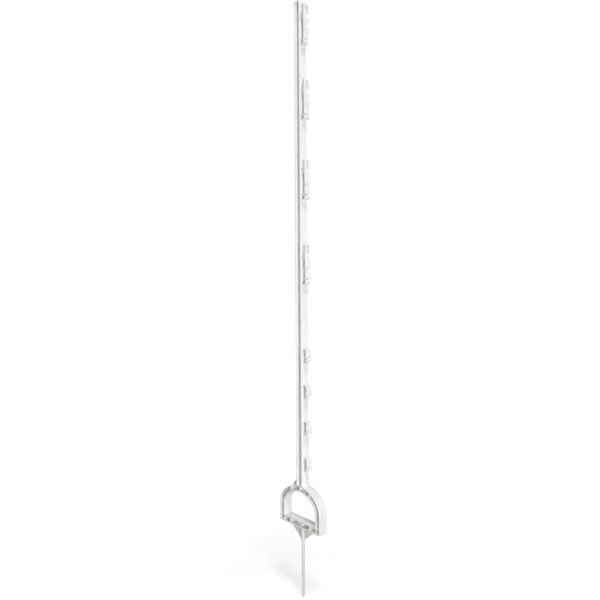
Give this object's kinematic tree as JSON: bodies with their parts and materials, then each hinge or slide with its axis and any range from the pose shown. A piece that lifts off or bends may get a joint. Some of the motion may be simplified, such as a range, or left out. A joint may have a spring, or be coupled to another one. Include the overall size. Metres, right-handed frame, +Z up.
{
  "type": "stirrup post",
  "caption": "White moulded fence post with a D-shaped foot stirrup, a pointed steel ground spike, and tape slots, cord cups and cord hooks along one face.",
  "frame": {"origin": "on the spike's axis, at the lower end of the boss where the spike leaves the moulding", "axes": "+Z up along the post, X across the stirrup with the clips on the +X face, -Y the front"},
  "size_m": [0.152, 0.027, 1.56],
  "materials": {
    "white_plastic": "moulded, satin",
    "plated_steel": "zinc plated, bright"
  },
  "bodies": {
    "root": {"moulded_post": "white_plastic", "ground_spike": "plated_steel"}
  },
  "joints": []
}
